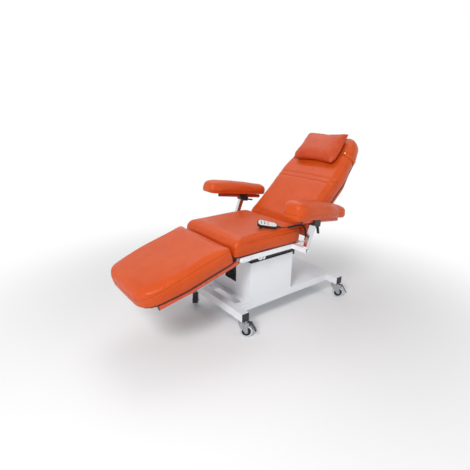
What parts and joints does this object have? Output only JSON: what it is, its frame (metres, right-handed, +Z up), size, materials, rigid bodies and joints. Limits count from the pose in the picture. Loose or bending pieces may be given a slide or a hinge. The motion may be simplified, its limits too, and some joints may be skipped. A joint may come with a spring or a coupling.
{
  "type": "phlebotomy chair",
  "caption": "Powered donor couch on a castered base, with tilting back and leg sections, adjustable padded arms, head pillow and wired hand control.",
  "frame": {"origin": "on the floor, at the middle of the overall length and width in the stored pose", "axes": "+X towards the sitter's left, +Y from the foot end to the head end, +Z up"},
  "size_m": [0.8931, 1.702, 1.1249],
  "materials": {
    "white_paint": "gloss",
    "black_plastic": "matte",
    "zinc": "satin",
    "black_paint": "satin",
    "plywood": "matte",
    "orange_vinyl": "satin",
    "white_plastic": "gloss",
    "orange_enamel": "gloss",
    "pillow_vinyl": "satin",
    "chrome": "polished",
    "grey_tyre": "matte",
    "dark_key": "satin",
    "red_key": "satin"
  },
  "bodies": {
    "base": {"crossbars": "white_paint", "base_side_rails": "white_paint", "base_tray": "white_paint", "crossbar_end_caps": "black_plastic", "pedestal_cover": "white_paint", "lift_outer_column": "zinc", "caster_stems": "zinc"},
    "seat": {"lift_inner_column": "zinc", "lift_shroud": "black_paint", "seat_rails": "white_paint", "seat_cross_tubes": "white_paint", "seat_board": "plywood", "seat_cushion": "orange_vinyl", "leg_hinge_brackets": "white_paint", "back_hinge_brackets": "white_paint", "actuator_brackets": "black_paint", "control_box": "black_plastic", "handset_case": "black_plastic", "handset_keypad": "white_plastic", "handset_lead": "black_plastic"},
    "leg": {"leg_side_tubes": "orange_enamel", "leg_cross_tubes": "orange_enamel", "leg_board": "plywood", "leg_cushion": "orange_vinyl"},
    "back": {"back_side_tubes": "orange_enamel", "back_cross_tubes": "orange_enamel", "back_board": "plywood", "back_cushion": "orange_vinyl"},
    "pillow": {"pillow": "pillow_vinyl", "pillow_strap": "pillow_vinyl"},
    "leg_barrel": {"leg_actuator_body": "black_plastic"},
    "leg_rod": {"leg_actuator_rod": "zinc"},
    "back_barrel": {"back_actuator_body": "black_plastic"},
    "back_rod": {"back_actuator_rod": "zinc"},
    "arm_left": {"arm_post_left": "chrome"},
    "arm_left_lever": {"arm_lever_left": "black_plastic"},
    "arm_left_rest": {"arm_rail_left": "orange_enamel", "arm_pad_left": "orange_vinyl"},
    "arm_right": {"arm_post_right": "chrome"},
    "arm_right_lever": {"arm_lever_right": "black_plastic"},
    "arm_right_rest": {"arm_rail_right": "orange_enamel", "arm_pad_right": "orange_vinyl"},
    "caster_front_left": {"caster_fork_front_left": "zinc"},
    "caster_front_left_wheel": {"caster_wheel_front_left": "grey_tyre"},
    "caster_front_left_pedal": {"caster_pedal_front_left": "black_plastic"},
    "caster_front_right": {"caster_fork_front_right": "zinc"},
    "caster_front_right_wheel": {"caster_wheel_front_right": "grey_tyre"},
    "caster_front_right_pedal": {"caster_pedal_front_right": "black_plastic"},
    "caster_rear_left": {"caster_fork_rear_left": "zinc"},
    "caster_rear_left_wheel": {"caster_wheel_rear_left": "grey_tyre"},
    "caster_rear_left_pedal": {"caster_pedal_rear_left": "black_plastic"},
    "caster_rear_right": {"caster_fork_rear_right": "zinc"},
    "caster_rear_right_wheel": {"caster_wheel_rear_right": "grey_tyre"},
    "caster_rear_right_pedal": {"caster_pedal_rear_right": "black_plastic"},
    "key_1": {"handset_key_1": "dark_key"},
    "key_2": {"handset_key_2": "dark_key"},
    "key_3": {"handset_key_3": "dark_key"},
    "key_4": {"handset_key_4": "dark_key"},
    "key_5": {"handset_key_5": "red_key"},
    "key_6": {"handset_key_6": "red_key"}
  },
  "joints": [
    {"name": "lift", "type": "slide", "parent": "base", "child": "seat", "axis": [0, 0, 1], "range_m": [-0.045, 0.15]},
    {"name": "leg_hinge", "type": "hinge", "parent": "seat", "child": "leg", "pos_m": [0, -0.25, 0.49], "axis": [-1, 0, 0], "range_deg": [-44, 16]},
    {"name": "back_hinge", "type": "hinge", "parent": "seat", "child": "back", "pos_m": [0, 0.252, 0.49], "axis": [1, 0, 0], "range_deg": [-43.4, 12]},
    {"name": "leg_barrel_pivot", "type": "hinge", "parent": "seat", "child": "leg_barrel", "pos_m": [0, -0.078, 0.40317], "axis": [-1, 0, 0], "range_deg": [-22.5, 8.5]},
    {"name": "leg_rod_pivot", "type": "hinge", "parent": "leg", "child": "leg_rod", "pos_m": [0, -0.42382, 0.40687], "axis": [-1, 0, 0], "range_deg": [-8.5, 22.5]},
    {"name": "back_barrel_pivot", "type": "hinge", "parent": "seat", "child": "back_barrel", "pos_m": [0, 0.16, 0.33497], "axis": [1, 0, 0], "range_deg": [-22, 6.5]},
    {"name": "back_rod_pivot", "type": "hinge", "parent": "back", "child": "back_rod", "pos_m": [0, 0.42969, 0.52041], "axis": [1, 0, 0], "range_deg": [-6.5, 22]},
    {"name": "pillow_slide", "type": "slide", "parent": "back", "child": "pillow", "axis": [0, 0.7266, 0.6871], "range_m": [-0.015, 0.025]},
    {"name": "arm_left_height", "type": "slide", "parent": "seat", "child": "arm_left", "axis": [0, 0.3551, 0.9348], "range_m": [0, 0.06]},
    {"name": "arm_left_reach", "type": "slide", "parent": "arm_left", "child": "arm_left_rest", "axis": [0.0692, -0.989, 0.1305], "range_m": [-0.056, 0.128]},
    {"name": "arm_left_lock", "type": "hinge", "parent": "arm_left", "child": "arm_left_lever", "pos_m": [0.35088, 0.25413, 0.63652], "axis": [0.9976, 0.0698, 0], "range_deg": [0, 64]},
    {"name": "arm_right_height", "type": "slide", "parent": "seat", "child": "arm_right", "axis": [0, 0.3551, 0.9348], "range_m": [-0.028, 0.032]},
    {"name": "arm_right_reach", "type": "slide", "parent": "arm_right", "child": "arm_right_rest", "axis": [-0.0692, -0.989, 0.1305], "range_m": [-0.132, 0.052]},
    {"name": "arm_right_lock", "type": "hinge", "parent": "arm_right", "child": "arm_right_lever", "pos_m": [-0.35088, 0.26408, 0.6627], "axis": [0.9976, -0.0698, 0], "range_deg": [-64, 0]},
    {"name": "caster_front_left_swivel", "type": "hinge", "parent": "base", "child": "caster_front_left", "pos_m": [0.254, -0.241, 0.1], "axis": [0, 0, 1], "continuous": true},
    {"name": "caster_front_left_roll", "type": "hinge", "parent": "caster_front_left", "child": "caster_front_left_wheel", "pos_m": [0.27328, -0.21802, 0.04], "axis": [0.766, -0.6428, 0], "continuous": true},
    {"name": "caster_front_left_brake", "type": "hinge", "parent": "caster_front_left", "child": "caster_front_left_pedal", "pos_m": [0.27971, -0.21036, 0.093], "axis": [0.766, -0.6428, 0], "range_deg": [-8, 0]},
    {"name": "caster_front_right_swivel", "type": "hinge", "parent": "base", "child": "caster_front_right", "pos_m": [-0.254, -0.241, 0.1], "axis": [0, 0, 1], "continuous": true},
    {"name": "caster_front_right_roll", "type": "hinge", "parent": "caster_front_right", "child": "caster_front_right_wheel", "pos_m": [-0.23004, -0.25905, 0.04], "axis": [-0.6018, -0.7986, 0], "continuous": true},
    {"name": "caster_front_right_brake", "type": "hinge", "parent": "caster_front_right", "child": "caster_front_right_pedal", "pos_m": [-0.22206, -0.26507, 0.093], "axis": [-0.6018, -0.7986, 0], "range_deg": [-8, 0]},
    {"name": "caster_rear_left_swivel", "type": "hinge", "parent": "base", "child": "caster_rear_left", "pos_m": [0.254, 0.618, 0.1], "axis": [0, 0, 1], "continuous": true},
    {"name": "caster_rear_left_roll", "type": "hinge", "parent": "caster_rear_left", "child": "caster_rear_left_wheel", "pos_m": [0.27328, 0.64098, 0.04], "axis": [0.766, -0.6428, 0], "continuous": true},
    {"name": "caster_rear_left_brake", "type": "hinge", "parent": "caster_rear_left", "child": "caster_rear_left_pedal", "pos_m": [0.27971, 0.64864, 0.093], "axis": [0.766, -0.6428, 0], "range_deg": [-8, 0]},
    {"name": "caster_rear_right_swivel", "type": "hinge", "parent": "base", "child": "caster_rear_right", "pos_m": [-0.254, 0.618, 0.1], "axis": [0, 0, 1], "continuous": true},
    {"name": "caster_rear_right_roll", "type": "hinge", "parent": "caster_rear_right", "child": "caster_rear_right_wheel", "pos_m": [-0.26426, 0.64619, 0.04], "axis": [0.9397, 0.342, 0], "continuous": true},
    {"name": "caster_rear_right_brake", "type": "hinge", "parent": "caster_rear_right", "child": "caster_rear_right_pedal", "pos_m": [-0.26768, 0.65559, 0.093], "axis": [0.9397, 0.342, 0], "range_deg": [-8, 0]},
    {"name": "key_1_press", "type": "slide", "parent": "seat", "child": "key_1", "axis": [-0.3471, 0.048, -0.9366], "range_m": [0, 0.001], "stiffness_N_per_m": 300},
    {"name": "key_2_press", "type": "slide", "parent": "seat", "child": "key_2", "axis": [-0.3471, 0.048, -0.9366], "range_m": [0, 0.001], "stiffness_N_per_m": 300},
    {"name": "key_3_press", "type": "slide", "parent": "seat", "child": "key_3", "axis": [-0.3471, 0.048, -0.9366], "range_m": [0, 0.001], "stiffness_N_per_m": 300},
    {"name": "key_4_press", "type": "slide", "parent": "seat", "child": "key_4", "axis": [-0.3471, 0.048, -0.9366], "range_m": [0, 0.001], "stiffness_N_per_m": 300},
    {"name": "key_5_press", "type": "slide", "parent": "seat", "child": "key_5", "axis": [-0.3471, 0.048, -0.9366], "range_m": [0, 0.001], "stiffness_N_per_m": 300},
    {"name": "key_6_press", "type": "slide", "parent": "seat", "child": "key_6", "axis": [-0.3471, 0.048, -0.9366], "range_m": [0, 0.001], "stiffness_N_per_m": 300}
  ],
  "couplings": [
    {"joint": "leg_barrel_pivot", "follows": "leg_hinge", "ratio": 0.5},
    {"joint": "leg_rod_pivot", "follows": "leg_hinge", "ratio": -0.5},
    {"joint": "back_barrel_pivot", "follows": "back_hinge", "ratio": 0.5},
    {"joint": "back_rod_pivot", "follows": "back_hinge", "ratio": -0.5}
  ]
}
